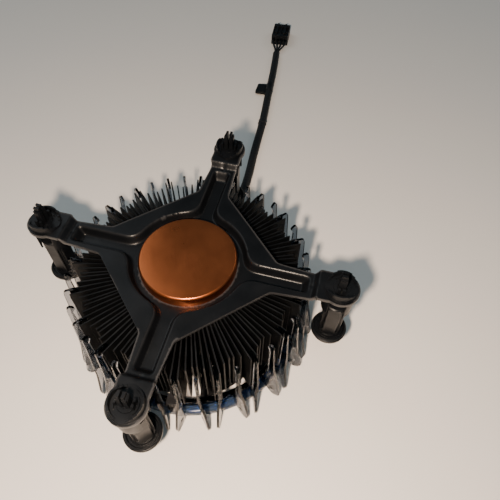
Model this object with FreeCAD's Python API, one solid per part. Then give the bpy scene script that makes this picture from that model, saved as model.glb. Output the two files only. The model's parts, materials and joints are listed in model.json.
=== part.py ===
import FreeCAD, Part
import math
import os

from FreeCAD import Vector

# Round down-blowing CPU cooler with a push-pin bracket, lying fan side down.
# Millimetres, +Z up, origin on the fan axis in the plane that the cooler rests on.

# Driving dimensions
CONTACT_Z = 46.5          # height of the copper contact face
CORE_R = 17.8
CORE_BOTTOM_Z = 20.0
CORE_BEVEL = 0.9

FIN_TOP_Z = 40.6
FIN_BOTTOM_Z = 15.6
FIN_THICKNESS = 0.5
GROUPS = 20               # fins stand in equal groups, one trunk to a group
GROUP_PITCH = 360.0 / GROUPS
GROUP_START = 3.0         # degrees, the middle of the first group and of a long vane
FIN_PITCH = 3.15          # degrees between the fins of a group
FIN_RADII = [39.2, 40.3, 43.0, 43.0, 40.3, 39.2]
HEATSINK_WALL_R = 21.0
TRUNK_WIDTH = 2.6
TRUNK_R = 23.0
WEB_R = 24.4

BRACKET_TOP_Z = 45.7
SHEET = 1.5
RECESS_FLOOR_Z = 42.1
RECESS_R = 20.3
RECESS_WALL = 1.2
CHANNEL_HALF = 2.3
CHANNEL_END = 43.6
BODY_HALF = 26.75         # half the side of the bracket's square body
CORNER_HALF = 18.1        # where the side meets an arm
ARM_FOOT = 45.2           # distance from the axis to the foot of the step
ARM_FOOT_HALF = 5.4
STEP_HEAD = 47.6
PAD_TOP_Z = 48.2
PAD_R = 6.5
PAD_WAIST_HALF = 5.7

HOLE_SPACING = 78.0       # the mainboard's square hole pattern
PIN_OFFSET = HOLE_SPACING / 2
PAD_HOLE_R = 3.6
PRONG_TOP_Z = 57.2
PRONG_R = 1.95            # the split tip, for a 4 mm hole
PRONG_SLIT_HALF = 0.35
PRONG_WEB_HALF = 0.5      # what joins the two halves on the axis
SLEEVE_BOTTOM_Z = 36.5
CAP_BOTTOM_Z = 17.6
CAP_TOP_Z = 20.2
CAP_R = 6.8

VANE_TOP_Z = 41.8
VANE_THICKNESS = 1.1
VANE_WALL_R = 43.5        # the vanes' inner edge, clear of the fins
VANE_ROOT_R = 44.1        # what the leaf at a vane's foot turns about
LEAF_TWIST = 24.0         # degrees, alternate leaves turn opposite ways
RING_IN_R = 38.4
RING_OUT_R = 40.2
RING_TOP_Z = 8.0
ACCENT_OUT_R = 43.2
ACCENT_BOTTOM_Z = 0.8
ACCENT_TOP_Z = 5.2

STRUT_ANGLE = 52.5        # degrees, then every quarter turn
STRUT_WIDTH = 3.2
STRUT_BOTTOM_Z = 14.0
POST_WIDTH = 4.4
CABLE_ANGLE = 43.5        # between two vanes whose leaves turn apart

HUB_R = 16.0
HUB_FACE_Z = 1.6
HUB_TOP_Z = 12.6
HUB_WALL = 1.4
BLADES = 9
BLADE_START = 24.0        # degrees, where the rotor stands at rest
BLADE_R = 37.6
SHAFT_R = 1.5
SHAFT_CLEARANCE = 0.05

CABLE_D = 4.2
CABLE_ROUTE = [
    (31.2, 29.6, 10.4),
    (37.7, 35.9, 9.6),
    (46.0, 44.0, 5.3),
    (58.5, 56.3, 2.3),
    (73.0, 73.5, 2.3),
    (90.0, 92.0, 2.3),
    (106.5, 112.6, 2.3),
    (122.5, 131.5, 2.3),
    (134.0, 146.5, 2.3),
]
PLUG_START = (143.4, 157.3, 3.3)
PLUG_SIZE = (14.5, 11.0, 6.5)
LEAD_D = 1.15


def save(name, shape):
    shape = shape.removeSplitter()
    if not shape.isValid():
        print("INVALID", name)
    shape.exportStep(os.path.join("parts", name + ".step"))
    print(name, len(shape.Solids), round(shape.Volume, 1))
    return shape


def cylinder(radius, low, high, x=0.0, y=0.0):
    return Part.makeCylinder(radius, high - low, Vector(x, y, low))


def tube(outer, inner, low, high, x=0.0, y=0.0):
    margin = 1.0
    bore = cylinder(inner, low - margin, high + margin, x, y)
    return cylinder(outer, low, high, x, y).cut(bore)


def block(x_low, x_high, y_low, y_high, z_low, z_high):
    corner = Vector(x_low, y_low, z_low)
    return Part.makeBox(x_high - x_low, y_high - y_low, z_high - z_low, corner)


def turned(shape, degrees, centre=(0.0, 0.0)):
    moved = shape.copy()
    moved.rotate(Vector(centre[0], centre[1], 0), Vector(0, 0, 1), degrees)
    return moved


def prism(points, low, high):
    corners = [Vector(x, y, low) for x, y in points]
    wire = Part.makePolygon(corners + corners[:1])
    return Part.Face(wire).extrude(Vector(0, 0, high - low))


def joined(shapes):
    return shapes[0].multiFuse(shapes[1:]) if len(shapes) > 1 else shapes[0]


def polar(radius, degrees):
    angle = math.radians(degrees)
    return radius * math.cos(angle), radius * math.sin(angle)


def beside(radius, degrees, offset):
    """A point at a distance along a ray, moved sideways from it by offset."""
    angle = math.radians(degrees)
    x = radius * math.cos(angle) - offset * math.sin(angle)
    y = radius * math.sin(angle) + offset * math.cos(angle)
    return x, y


# Copper core

def make_core():
    core = cylinder(CORE_R, CORE_BOTTOM_Z, CONTACT_Z)
    top_edges = [e for e in core.Edges if e.BoundBox.ZMin > CONTACT_Z - 0.01]
    return core.makeChamfer(CORE_BEVEL, top_edges)


# Heatsink: a wall around the core, and a trunk, a web and six fins in each group

def group_outline(middle):
    """One group's corners, anticlockwise, from its trunk round its fins."""
    half = FIN_THICKNESS / 2
    count = len(FIN_RADII)
    first = middle - FIN_PITCH * (count - 1) / 2
    last = middle + FIN_PITCH * (count - 1) / 2
    points = [beside(HEATSINK_WALL_R, middle, -TRUNK_WIDTH / 2)]
    points.append(beside(TRUNK_R, middle, -TRUNK_WIDTH / 2))
    points.append(beside(TRUNK_R, first, -half))
    for index, radius in enumerate(FIN_RADII):
        angle = first + FIN_PITCH * index
        if index > 0:
            points.append(beside(WEB_R, angle, -half))
        points.append(beside(radius, angle, -half))
        points.append(beside(radius, angle, half))
        if index < count - 1:
            points.append(beside(WEB_R, angle, half))
    points.append(beside(TRUNK_R, last, half))
    points.append(beside(TRUNK_R, middle, TRUNK_WIDTH / 2))
    points.append(beside(HEATSINK_WALL_R, middle, TRUNK_WIDTH / 2))
    return points


def make_heatsink():
    outline = []
    for group in range(GROUPS):
        outline += group_outline(GROUP_START + group * GROUP_PITCH)
    bore = cylinder(CORE_R, FIN_BOTTOM_Z - 1, FIN_TOP_Z + 1)
    return prism(outline, FIN_BOTTOM_Z, FIN_TOP_Z).cut(bore)


# Bracket: a square body with four arms, a pressed star and four raised pads

def arm_points(quarter):
    corner_u = (BODY_HALF + CORNER_HALF) / math.sqrt(2)
    corner_v = (BODY_HALF - CORNER_HALF) / math.sqrt(2)
    angle = 45 + 90 * quarter
    return [
        beside(corner_u, angle, -corner_v),
        beside(ARM_FOOT, angle, -ARM_FOOT_HALF),
        beside(ARM_FOOT, angle, ARM_FOOT_HALF),
        beside(corner_u, angle, corner_v),
    ]


def star(low, high, grow=0.0):
    shapes = [cylinder(RECESS_R + grow, low, high)]
    half = CHANNEL_HALF + grow
    end = CHANNEL_END + grow
    for quarter in range(4):
        channel = block(0, end - half, -half, half, low, high)
        channel = channel.fuse(cylinder(half, low, high, end - half, 0))
        shapes.append(turned(channel, 45 + 90 * quarter))
    return joined(shapes)


def raised_pad():
    """One arm's step and pad, along +X."""
    rise = PAD_TOP_Z - BRACKET_TOP_Z
    low = BRACKET_TOP_Z - SHEET
    profile = [
        Vector(ARM_FOOT, -ARM_FOOT_HALF, low),
        Vector(ARM_FOOT, -ARM_FOOT_HALF, BRACKET_TOP_Z),
        Vector(STEP_HEAD, -ARM_FOOT_HALF, PAD_TOP_Z),
        Vector(STEP_HEAD, -ARM_FOOT_HALF, low + rise),
    ]
    wire = Part.makePolygon(profile + profile[:1])
    step = Part.Face(wire).extrude(Vector(0, 2 * ARM_FOOT_HALF, 0))
    centre = PIN_OFFSET * math.sqrt(2)
    waist = block(STEP_HEAD, centre, -PAD_WAIST_HALF, PAD_WAIST_HALF, PAD_TOP_Z - SHEET, PAD_TOP_Z)
    disc = cylinder(PAD_R, PAD_TOP_Z - SHEET, PAD_TOP_Z, centre, 0)
    hole = cylinder(PAD_HOLE_R, PAD_TOP_Z - 2 * SHEET, PAD_TOP_Z + 1, centre, 0)
    return joined([step, waist, disc]).cut(hole)


def make_bracket():
    outline = []
    for quarter in range(4):
        outline += arm_points(quarter)
    floor_low = RECESS_FLOOR_Z - SHEET
    sheet = prism(outline, BRACKET_TOP_Z - SHEET, BRACKET_TOP_Z)
    walls = star(floor_low, BRACKET_TOP_Z, RECESS_WALL)
    shell = sheet.fuse(walls).cut(star(RECESS_FLOOR_Z, BRACKET_TOP_Z + 1))
    shell = shell.cut(cylinder(CORE_R, floor_low - 1, RECESS_FLOOR_Z + 1))
    pads = [turned(raised_pad(), 45 + 90 * quarter) for quarter in range(4)]
    return joined([shell] + pads)


# Fasteners: a snap base in the pad, a pin that slides in it and a cap that turns on the pin

FLANGE_R = 6.0
FLANGE_TOP_Z = 49.2
NECK_R = 3.5
SLEEVE_R = 5.5
SLEEVE_BORE_R = 4.8
COLUMN_R = 4.45
COLUMN_TOP_Z = 40.0
BLADE_HALF = 1.35
BLADE_WIDTH_HALF = 0.4
BLADE_TOP_Z = 44.3
PIN_BORE_TOP_Z = 49.0
PIN_BORE_R = 1.7
PIN_NECK_R = 2.6
CAP_BORE_R = 2.68
CAP_FLOOR = 1.5


def fastener_base():
    lower = PAD_TOP_Z - SHEET
    flange = cylinder(FLANGE_R, PAD_TOP_Z, FLANGE_TOP_Z)
    neck = cylinder(NECK_R, lower, PAD_TOP_Z)
    sleeve = tube(SLEEVE_R, SLEEVE_BORE_R, SLEEVE_BOTTOM_Z, lower - SHEET)
    roof = cylinder(SLEEVE_R, lower - SHEET, lower)
    body = joined([flange, neck, roof, sleeve])
    window = block(-2.0, 2.0, -SLEEVE_R - 1, SLEEVE_R + 1, SLEEVE_BOTTOM_Z - 1, lower - 2 * SHEET)
    body = body.cut(window)
    arcs = tube(5.2, 4.2, FLANGE_TOP_Z - 0.1, FLANGE_TOP_Z + 1.3)
    gap = block(-2.1, 2.1, -FLANGE_R, FLANGE_R, FLANGE_TOP_Z - 0.2, PRONG_TOP_Z)
    tip = cylinder(PRONG_R, PAD_TOP_Z, PRONG_TOP_Z)
    tip_edges = [e for e in tip.Edges if e.BoundBox.ZMin > PRONG_TOP_Z - 0.01]
    tip = tip.makeChamfer(0.7, tip_edges)
    body = body.fuse([arcs.cut(gap), tip])
    body = body.cut(cylinder(PIN_BORE_R, lower - 2 * SHEET, PIN_BORE_TOP_Z))
    half = PRONG_SLIT_HALF
    slit = block(PRONG_WEB_HALF, FLANGE_R, -half, half, FLANGE_TOP_Z + 0.5, PRONG_TOP_Z + 1)
    return body.cut(slit).cut(turned(slit, 180))


def fastener_pin():
    column_low = CAP_BOTTOM_Z + CAP_FLOOR + 0.3
    column = cylinder(COLUMN_R, column_low, COLUMN_TOP_Z)
    for side in (0, 90, 180, 270):
        groove = block(3.4, COLUMN_R + 1, -0.9, 0.9, CAP_TOP_Z + 1.2, COLUMN_TOP_Z - 1.5)
        column = column.cut(turned(groove, side + 45))
    for side in (0, 180):
        flat = block(3.9, COLUMN_R + 1, -3.2, 3.2, CAP_TOP_Z + 1.2, COLUMN_TOP_Z + 1)
        column = column.cut(turned(flat, side))
    neck = cylinder(PIN_NECK_R, CAP_BOTTOM_Z - 0.3, column_low)
    head = cylinder(3.3, CAP_BOTTOM_Z - 1.1, CAP_BOTTOM_Z - 0.3)
    blade = block(-BLADE_HALF, BLADE_HALF, -BLADE_WIDTH_HALF, BLADE_WIDTH_HALF, COLUMN_TOP_Z, BLADE_TOP_Z)
    return joined([column, neck, head, blade])


def fastener_cap():
    floor_z = CAP_BOTTOM_Z + CAP_FLOOR
    disc = tube(CAP_R, CAP_BORE_R, CAP_BOTTOM_Z, floor_z)
    rim = tube(CAP_R, CAP_R - 1.0, floor_z, CAP_TOP_Z)
    cap = disc.fuse(rim)
    for side in (0, 180):
        slot = block(3.9, 6.0, -0.6, 0.6, CAP_BOTTOM_Z - 1, CAP_BOTTOM_Z + 0.7)
        cap = cap.cut(turned(slot, side))
    return cap


# Light-guide shroud: an inner ring, forty vanes and four posts

def plate(points):
    """A vane's sheet from (radius, z) points, standing on the +X ray."""
    half = VANE_THICKNESS / 2
    corners = [Vector(x, -half, z) for x, z in points]
    wire = Part.makePolygon(corners + corners[:1])
    return Part.Face(wire).extrude(Vector(0, VANE_THICKNESS, 0))


def vane(inner_top, twist):
    """An upright sheet whose foot is a broad leaf, twisted by some degrees about its root."""
    upper = [
        (RING_OUT_R - 0.6, ACCENT_TOP_Z),
        (RING_OUT_R - 0.6, RING_TOP_Z),
        (VANE_WALL_R, RING_TOP_Z + 2.0),
        (VANE_WALL_R, 37.4),
        (inner_top, 39.6),
        (inner_top + 0.8, VANE_TOP_Z),
        (44.3, VANE_TOP_Z),
        (44.9, VANE_TOP_Z - 0.9),
        (45.6, 30.0),
        (46.2, 22.0),
        (VANE_ROOT_R + 0.3, 14.0),
        (VANE_ROOT_R, ACCENT_TOP_Z),
    ]
    leaf = [
        (VANE_ROOT_R - 0.3, ACCENT_TOP_Z),
        (VANE_ROOT_R - 0.3, 22.0),
        (46.2, 22.0),
        (47.0, 15.0),
        (48.6, 8.0),
        (49.4, 4.0),
        (49.4, 2.0),
        (48.8, 0.5),
        (47.8, 0.02),
        (46.8, 0.5),
        (45.4, 3.0),
    ]
    foot = plate(leaf)
    foot.rotate(Vector(VANE_ROOT_R, 0, 0), Vector(0, 0, 1), twist)
    return plate(upper).fuse(foot)


def make_shroud():
    ring = tube(RING_OUT_R, RING_IN_R, 0, RING_TOP_Z)
    solids = []
    short = vane(42.3, LEAF_TWIST)
    long = vane(39.7, -LEAF_TWIST)
    for group in range(GROUPS):
        angle = GROUP_START + group * GROUP_PITCH
        solids.append(turned(long, angle))
        solids.append(turned(short, angle + GROUP_PITCH / 2))
    for quarter in range(4):
        angle = STRUT_ANGLE + 90 * quarter
        post = block(RING_OUT_R - 0.6, 43.4, -POST_WIDTH / 2, POST_WIDTH / 2, ACCENT_TOP_Z, STRUT_BOTTOM_Z)
        peg = cylinder(1.1, STRUT_BOTTOM_Z - 0.5, FIN_BOTTOM_Z - 0.3, 41.8, 0)
        solids.append(turned(post.fuse(peg), angle))
    shroud = joined([ring] + solids)
    under_arms = star(FIN_TOP_Z - 0.4, BRACKET_TOP_Z, RECESS_WALL + 0.2)
    return shroud.cut(under_arms)


def make_accent_ring():
    ring = tube(ACCENT_OUT_R, RING_OUT_R, ACCENT_BOTTOM_Z, ACCENT_TOP_Z)
    outer = [e for e in ring.Edges if e.Length > 2 * math.pi * (ACCENT_OUT_R - 0.1)]
    return ring.makeFillet(1.2, outer)


# Fan: frame, motor and rotor

def make_frame():
    back_plate = cylinder(14.2, STRUT_BOTTOM_Z, FIN_BOTTOM_Z)
    bearing_tube = cylinder(4.2, 4.6, STRUT_BOTTOM_Z + 0.1)
    shapes = [back_plate, bearing_tube]
    for quarter in range(4):
        strut = block(12, 43.4, -STRUT_WIDTH / 2, STRUT_WIDTH / 2, STRUT_BOTTOM_Z, FIN_BOTTOM_Z)
        lug = block(39.6, 43.4, -POST_WIDTH / 2, POST_WIDTH / 2, STRUT_BOTTOM_Z, FIN_BOTTOM_Z)
        strut = strut.fuse(lug).cut(cylinder(1.1, STRUT_BOTTOM_Z - 1, FIN_BOTTOM_Z - 0.3, 41.8, 0))
        shapes.append(turned(strut, STRUT_ANGLE + 90 * quarter))
        between_fins = GROUP_START + 3 * GROUP_PITCH - FIN_PITCH
        tongue = block(32, 37.5, -0.3, 0.3, FIN_BOTTOM_Z - 0.5, FIN_BOTTOM_Z + 8)
        shapes.append(turned(tongue, between_fins + 90 * quarter))
    channel = block(12, 38.6, -2.2, 2.2, STRUT_BOTTOM_Z, FIN_BOTTOM_Z)
    gland = block(38.6, 43.4, -2.3, 2.3, RING_TOP_Z + 0.1, FIN_BOTTOM_Z)
    shapes.append(turned(channel.fuse(gland), CABLE_ANGLE))
    frame = joined(shapes)
    return frame.cut(cylinder(3.0, 4, FIN_BOTTOM_Z + 1))


def make_stator():
    core = tube(6.0, 4.2, 5.6, 11.4)
    shapes = [core]
    for pole in range(4):
        arm = block(5, 11.2, -1.3, 1.3, 6.2, 10.8)
        face = tube(12.2, 11.0, 6.2, 10.8).common(block(8, 13, -6.0, 6.0, 5, 12))
        shapes.append(turned(arm.fuse(face), 90 * pole))
    return joined(shapes)


def make_coils():
    coils = []
    for pole in range(4):
        outer = block(6.6, 10.6, -2.7, 2.7, 5.2, 11.8)
        inner = block(6.0, 11.0, -1.3, 1.3, 6.2, 10.8)
        coils.append(turned(outer.cut(inner), 90 * pole))
    return Part.makeCompound(coils)


def blade_section(radius, width, low, high, thickness):
    """A curved blade's section at one radius, as a closed four-sided wire."""
    sweep = math.degrees(width / radius)
    x0, y0 = polar(radius, -sweep / 2)
    x1, y1 = polar(radius, sweep / 2)
    corners = [Vector(x0, y0, low), Vector(x1, y1, high - thickness)]
    corners += [Vector(x1, y1, high), Vector(x0, y0, low + thickness)]
    return Part.makePolygon(corners + corners[:1])


def make_rotor():
    wall = tube(HUB_R, HUB_R - HUB_WALL, HUB_FACE_Z, HUB_TOP_Z)
    face = cylinder(HUB_R, HUB_FACE_Z, HUB_FACE_Z + HUB_WALL)
    boss = tube(3.2, SHAFT_R, HUB_FACE_Z + 0.2, 4.2)
    shapes = [wall, face.cut(cylinder(SHAFT_R, HUB_FACE_Z + 0.6, 5)), boss]
    inner = blade_section(HUB_R - 0.6, 11.0, 3.4, 12.2, 1.5)
    middle = blade_section(27.0, 15.5, 3.4, 12.4, 1.3)
    outer = blade_section(BLADE_R, 18.5, 4.0, 12.4, 1.1)
    blade = Part.makeLoft([inner, middle, outer], True, True)
    for index in range(BLADES):
        shapes.append(turned(blade, BLADE_START + 360.0 * index / BLADES))
    return joined(shapes)


# Cable: straight runs joined by tangent arcs

def cable_path(route):
    points = [Vector(*p) for p in route]
    count = len(points)
    edges = []
    start = points[0]
    for i in range(1, count - 1):
        before = points[i] - points[i - 1]
        after = points[i + 1] - points[i]
        turn = before.getAngle(after)
        radius = 0.45 * min(before.Length, after.Length) / math.tan(turn / 2)
        reach = radius * math.tan(turn / 2)
        before.normalize()
        after.normalize()
        arc_start = points[i] - before * reach
        arc_end = points[i] + after * reach
        bisector = (after - before).normalize()
        centre = points[i] + bisector * (radius / math.cos(turn / 2))
        arc_middle = centre - bisector * radius
        edges.append(Part.LineSegment(start, arc_start).toShape())
        edges.append(Part.Arc(arc_start, arc_middle, arc_end).toShape())
        print("bend", i, "radius", round(radius, 1), "turn", round(math.degrees(turn), 1))
        start = arc_end
    edges.append(Part.LineSegment(start, points[-1]).toShape())
    return Part.Wire(edges)


def make_cable():
    path = cable_path(CABLE_ROUTE)
    start = Vector(*CABLE_ROUTE[0])
    along = (Vector(*CABLE_ROUTE[1]) - start).normalize()
    ring = Part.Wire(Part.makeCircle(CABLE_D / 2, start, along))
    cable = path.makePipeShell([ring], True, False)
    expected = math.pi * CABLE_D ** 2 / 4 * path.Length
    print("cable length", round(path.Length, 1), "volume ratio", round(cable.Volume / expected, 4))
    return cable


def run_frame(first, second, share):
    """A point on a run of the route, and the run's direction."""
    a = Vector(*CABLE_ROUTE[first])
    b = Vector(*CABLE_ROUTE[second])
    along = (b - a).normalize()
    return a + (b - a) * share, along


def ring_on_cable(first, second, share, outer, length):
    middle, along = run_frame(first, second, share)
    start = middle - along * (length / 2)
    whole = Part.makeCylinder(outer, length, start, along)
    return whole.cut(Part.makeCylinder(CABLE_D / 2, length + 2, start - along, along))


def make_clip():
    middle, along = run_frame(6, 7, 0.24)
    sleeve = ring_on_cable(6, 7, 0.24, CABLE_D / 2 + 0.15, 7.0)
    tab = block(-3.6, 3.6, CABLE_D / 2 + 0.05, CABLE_D / 2 + 5.6, 1.0, 2.6)
    heading = math.degrees(math.atan2(along.y, along.x))
    tab = turned(tab, heading)
    tab.translate(Vector(middle.x, middle.y, 0))
    return sleeve.fuse(tab)


def plug_frame():
    end = Vector(*CABLE_ROUTE[-1])
    start = Vector(*PLUG_START)
    heading = math.degrees(math.atan2(start.y - end.y, start.x - end.x))
    return start, heading


def in_plug_frame(shape):
    start, heading = plug_frame()
    placed = turned(shape, heading)
    placed.translate(start)
    return placed


CONTACT_PITCH = 2.54
CONTACTS = 4


def contact_offsets():
    first = -CONTACT_PITCH * (CONTACTS - 1) / 2
    return [first + CONTACT_PITCH * i for i in range(CONTACTS)]


def make_plug():
    length, width, height = PLUG_SIZE
    body = block(0, length, -width / 2, width / 2, -height / 2, height / 2)
    for offset in contact_offsets():
        body = body.cut(block(4.5, length + 1, offset - 0.6, offset + 0.6, -0.6, 0.6))
        body = body.cut(block(-1, 4.5, offset - 0.85, offset + 0.85, -0.85, 0.85))
    rails = [block(2, length - 1, side - 0.6, side + 0.6, height / 2 - 0.1, height / 2 + 1.2)
             for side in (-2.6, 2.6)]
    return in_plug_frame(joined([body] + rails))


def make_contacts():
    length = PLUG_SIZE[0]
    springs = []
    for offset in contact_offsets():
        spring = block(4.5, length - 1, offset - 0.6, offset + 0.6, -0.6, 0.6)
        springs.append(spring.cut(block(7, length, offset - 0.35, offset + 0.35, -0.35, 0.35)))
    return in_plug_frame(Part.makeCompound(springs))


def make_leads():
    """Four leads that spread from the sleeve's end to the plug's back."""
    end = Vector(*CABLE_ROUTE[-1])
    start, heading = plug_frame()
    gap = math.hypot(start.x - end.x, start.y - end.y)
    leads = []
    for offset in contact_offsets():
        near = Vector(-gap, offset * 0.48, end.z - start.z)
        far = Vector(1.5, offset, 0)
        leads.append(Part.makeCylinder(LEAD_D / 2, (far - near).Length, near, far - near))
    return in_plug_frame(Part.makeCompound(leads))


def main():
    os.makedirs("parts", exist_ok=True)
    save("contact_core", make_core())
    save("heatsink", make_heatsink())
    save("mounting_bracket", make_bracket())
    save("light_shroud", make_shroud())
    save("accent_ring", make_accent_ring())

    save("fan_frame", make_frame())
    save("bearing_sleeve", tube(3.0, SHAFT_R + SHAFT_CLEARANCE, 4.8, FIN_BOTTOM_Z))
    save("circuit_board", tube(12.6, 4.2, 12.4, 13.4))
    save("hall_sensor", turned(block(8.6, 11.4, -1.5, 1.5, 11.7, 12.4), 45))
    save("stator_core", make_stator())
    save("stator_coils", make_coils())
    save("fan_rotor", make_rotor())
    save("rotor_yoke", tube(HUB_R - HUB_WALL, 13.9, 3.2, 12.4))
    save("magnet_ring", tube(13.9, 12.7, 4.4, 12.0))
    save("rotor_shaft", cylinder(SHAFT_R, HUB_FACE_Z + 0.6, 17.0))
    save("shaft_clip", tube(2.8, SHAFT_R, FIN_BOTTOM_Z + 0.3, FIN_BOTTOM_Z + 0.8))
    save("hub_badge", cylinder(13.0, HUB_FACE_Z - 0.3, HUB_FACE_Z))

    corners = [(-1, 1), (1, 1), (1, -1), (-1, -1)]
    for number, (sx, sy) in enumerate(corners, 1):
        place = Vector(sx * PIN_OFFSET, sy * PIN_OFFSET, 0)
        facing = math.degrees(math.atan2(sy, sx))
        pieces = {"base": fastener_base(), "pin": fastener_pin(), "cap": fastener_cap()}
        for kind, piece in pieces.items():
            placed = turned(piece, facing)
            placed.translate(place)
            save("fastener_%s_%d" % (kind, number), placed)

    save("fan_cable", make_cable())
    save("cable_collar", ring_on_cable(4, 5, 0.97, CABLE_D / 2 + 0.15, 2.4))
    save("cable_clip", make_clip())
    save("lead_wires", make_leads())
    save("connector_housing", make_plug())
    save("connector_contacts", make_contacts())


main()
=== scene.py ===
import bmesh
import bpy
import json
import math
from mathutils import Matrix, Vector
from mathutils.geometry import delaunay_2d_cdt


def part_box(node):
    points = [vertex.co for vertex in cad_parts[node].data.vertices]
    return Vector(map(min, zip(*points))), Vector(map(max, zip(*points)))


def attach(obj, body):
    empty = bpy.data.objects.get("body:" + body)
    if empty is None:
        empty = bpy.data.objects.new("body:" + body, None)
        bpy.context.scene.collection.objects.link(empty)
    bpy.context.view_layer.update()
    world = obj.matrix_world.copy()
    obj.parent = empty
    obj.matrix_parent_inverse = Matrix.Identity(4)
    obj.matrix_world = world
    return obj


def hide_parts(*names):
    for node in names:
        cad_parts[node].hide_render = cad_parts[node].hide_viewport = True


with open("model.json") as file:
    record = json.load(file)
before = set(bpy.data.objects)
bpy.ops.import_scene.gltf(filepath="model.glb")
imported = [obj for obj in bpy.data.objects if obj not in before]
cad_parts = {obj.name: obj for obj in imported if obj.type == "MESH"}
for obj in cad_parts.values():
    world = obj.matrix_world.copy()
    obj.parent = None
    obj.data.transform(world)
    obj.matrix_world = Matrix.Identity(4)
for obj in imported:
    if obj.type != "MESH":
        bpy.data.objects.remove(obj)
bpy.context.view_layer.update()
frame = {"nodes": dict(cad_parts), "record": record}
nodes = frame["nodes"]

MM = 0.001


def height(node, side):
    """A CAD node's lowest (0) or highest (1) Z, in millimetres."""
    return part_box(node)[side][2] / MM


PIN_OFFSET = 39.0       # half the mainboard's 78 mm hole square
CORNERS = [(-1, 1), (1, 1), (1, -1), (-1, -1)]
PAD_TOP = height("mounting_bracket", 1)
PAD_STEP = 2.5
SHEET_TOP = PAD_TOP - PAD_STEP


# Materials

def node_material(name):
    made = bpy.data.materials.new(name)
    made.use_nodes = True
    tree = made.node_tree
    shader = tree.nodes["Principled BSDF"]
    coords = tree.nodes.new("ShaderNodeTexCoord")
    return made, tree, shader, coords.outputs["Object"]


def noise(tree, coords, scale, detail=4.0, stretch=(1, 1, 1), roughness=0.55):
    mapping = tree.nodes.new("ShaderNodeMapping")
    mapping.inputs["Scale"].default_value = stretch
    tree.links.new(coords, mapping.inputs["Vector"])
    texture = tree.nodes.new("ShaderNodeTexNoise")
    texture.inputs["Scale"].default_value = scale
    texture.inputs["Detail"].default_value = detail
    texture.inputs["Roughness"].default_value = roughness
    tree.links.new(mapping.outputs["Vector"], texture.inputs["Vector"])
    return texture.outputs["Fac"]


def spread(tree, value, low, high, start=0.35, end=0.65):
    """Maps start to end onto low to high. The defaults are a noise's usual range."""
    node = tree.nodes.new("ShaderNodeMapRange")
    node.inputs["From Min"].default_value = start
    node.inputs["From Max"].default_value = end
    node.inputs["To Min"].default_value = low
    node.inputs["To Max"].default_value = high
    tree.links.new(value, node.inputs["Value"])
    return node.outputs["Result"]


def colour_mix(tree, factor, first, second):
    node = tree.nodes.new("ShaderNodeMix")
    node.data_type = "RGBA"
    tree.links.new(factor, node.inputs["Factor"])
    for socket, colour in (("A", first), ("B", second)):
        target = [s for s in node.inputs if s.name == socket and s.type == "RGBA"][0]
        if isinstance(colour, (tuple, list)):
            target.default_value = (*colour, 1)
        else:
            tree.links.new(colour, target)
    return [s for s in node.outputs if s.type == "RGBA"][0]


def add_bump(tree, shader, value, depth, before=None):
    """Raises the surface by depth metres where value is 1, on top of an earlier bump."""
    node = tree.nodes.new("ShaderNodeBump")
    node.inputs["Strength"].default_value = 1.0
    node.inputs["Distance"].default_value = depth
    tree.links.new(value, node.inputs["Height"])
    if before is not None:
        tree.links.new(before, node.inputs["Normal"])
    tree.links.new(node.outputs["Normal"], shader.inputs["Normal"])
    return node.outputs["Normal"]


def upward(tree):
    """1 on faces that look up, 0 on faces that look sideways."""
    geometry = tree.nodes.new("ShaderNodeNewGeometry")
    split = tree.nodes.new("ShaderNodeSeparateXYZ")
    tree.links.new(geometry.outputs["Normal"], split.inputs["Vector"])
    return spread(tree, split.outputs["Z"], 0.0, 1.0, 0.6, 0.9)


def moulded(name, dark, light, rough, grain=900.0, grain_depth=0.00002, metallic=0.0):
    """A moulded or coated surface: slow colour change, fine grain and handled patches."""
    made, tree, shader, coords = node_material(name)
    patches = spread(tree, noise(tree, coords, 60.0, 6.0), 0.0, 1.0)
    tree.links.new(colour_mix(tree, patches, dark, light), shader.inputs["Base Color"])
    smudges = noise(tree, coords, 130.0, 5.0)
    tree.links.new(spread(tree, smudges, rough - 0.08, rough + 0.1), shader.inputs["Roughness"])
    fine = noise(tree, coords, grain, 3.0)
    add_bump(tree, shader, fine, grain_depth)
    shader.inputs["Metallic"].default_value = metallic
    shader.inputs["Specular IOR Level"].default_value = 0.18
    return made


def copper_material():
    """Turned copper: a slow cloud of tarnish, a few dark specks and fine rings from the lathe."""
    made, tree, shader, coords = node_material("turned_copper")
    shader.inputs["Metallic"].default_value = 1.0
    cloud = spread(tree, noise(tree, coords, 45.0, 6.0, roughness=0.6), 0.0, 1.0)
    tone = colour_mix(tree, cloud, (0.44, 0.116, 0.037), (0.52, 0.145, 0.049))
    specks = spread(tree, noise(tree, coords, 520.0, 2.0), 0.0, 1.0, 0.735, 0.78)
    tree.links.new(colour_mix(tree, specks, tone, (0.30, 0.10, 0.04)), shader.inputs["Base Color"])
    tree.links.new(spread(tree, cloud, 0.27, 0.34, 0.0, 1.0), shader.inputs["Roughness"])
    rings = tree.nodes.new("ShaderNodeTexWave")
    rings.wave_type = "RINGS"
    rings.rings_direction = "Z"
    rings.inputs["Scale"].default_value = 600.0
    rings.inputs["Distortion"].default_value = 0.4
    tree.links.new(coords, rings.inputs["Vector"])
    before = add_bump(tree, shader, rings.outputs["Fac"], 0.000004)
    add_bump(tree, shader, noise(tree, coords, 300.0, 3.0), 0.00002, before=before)
    return made


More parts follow.
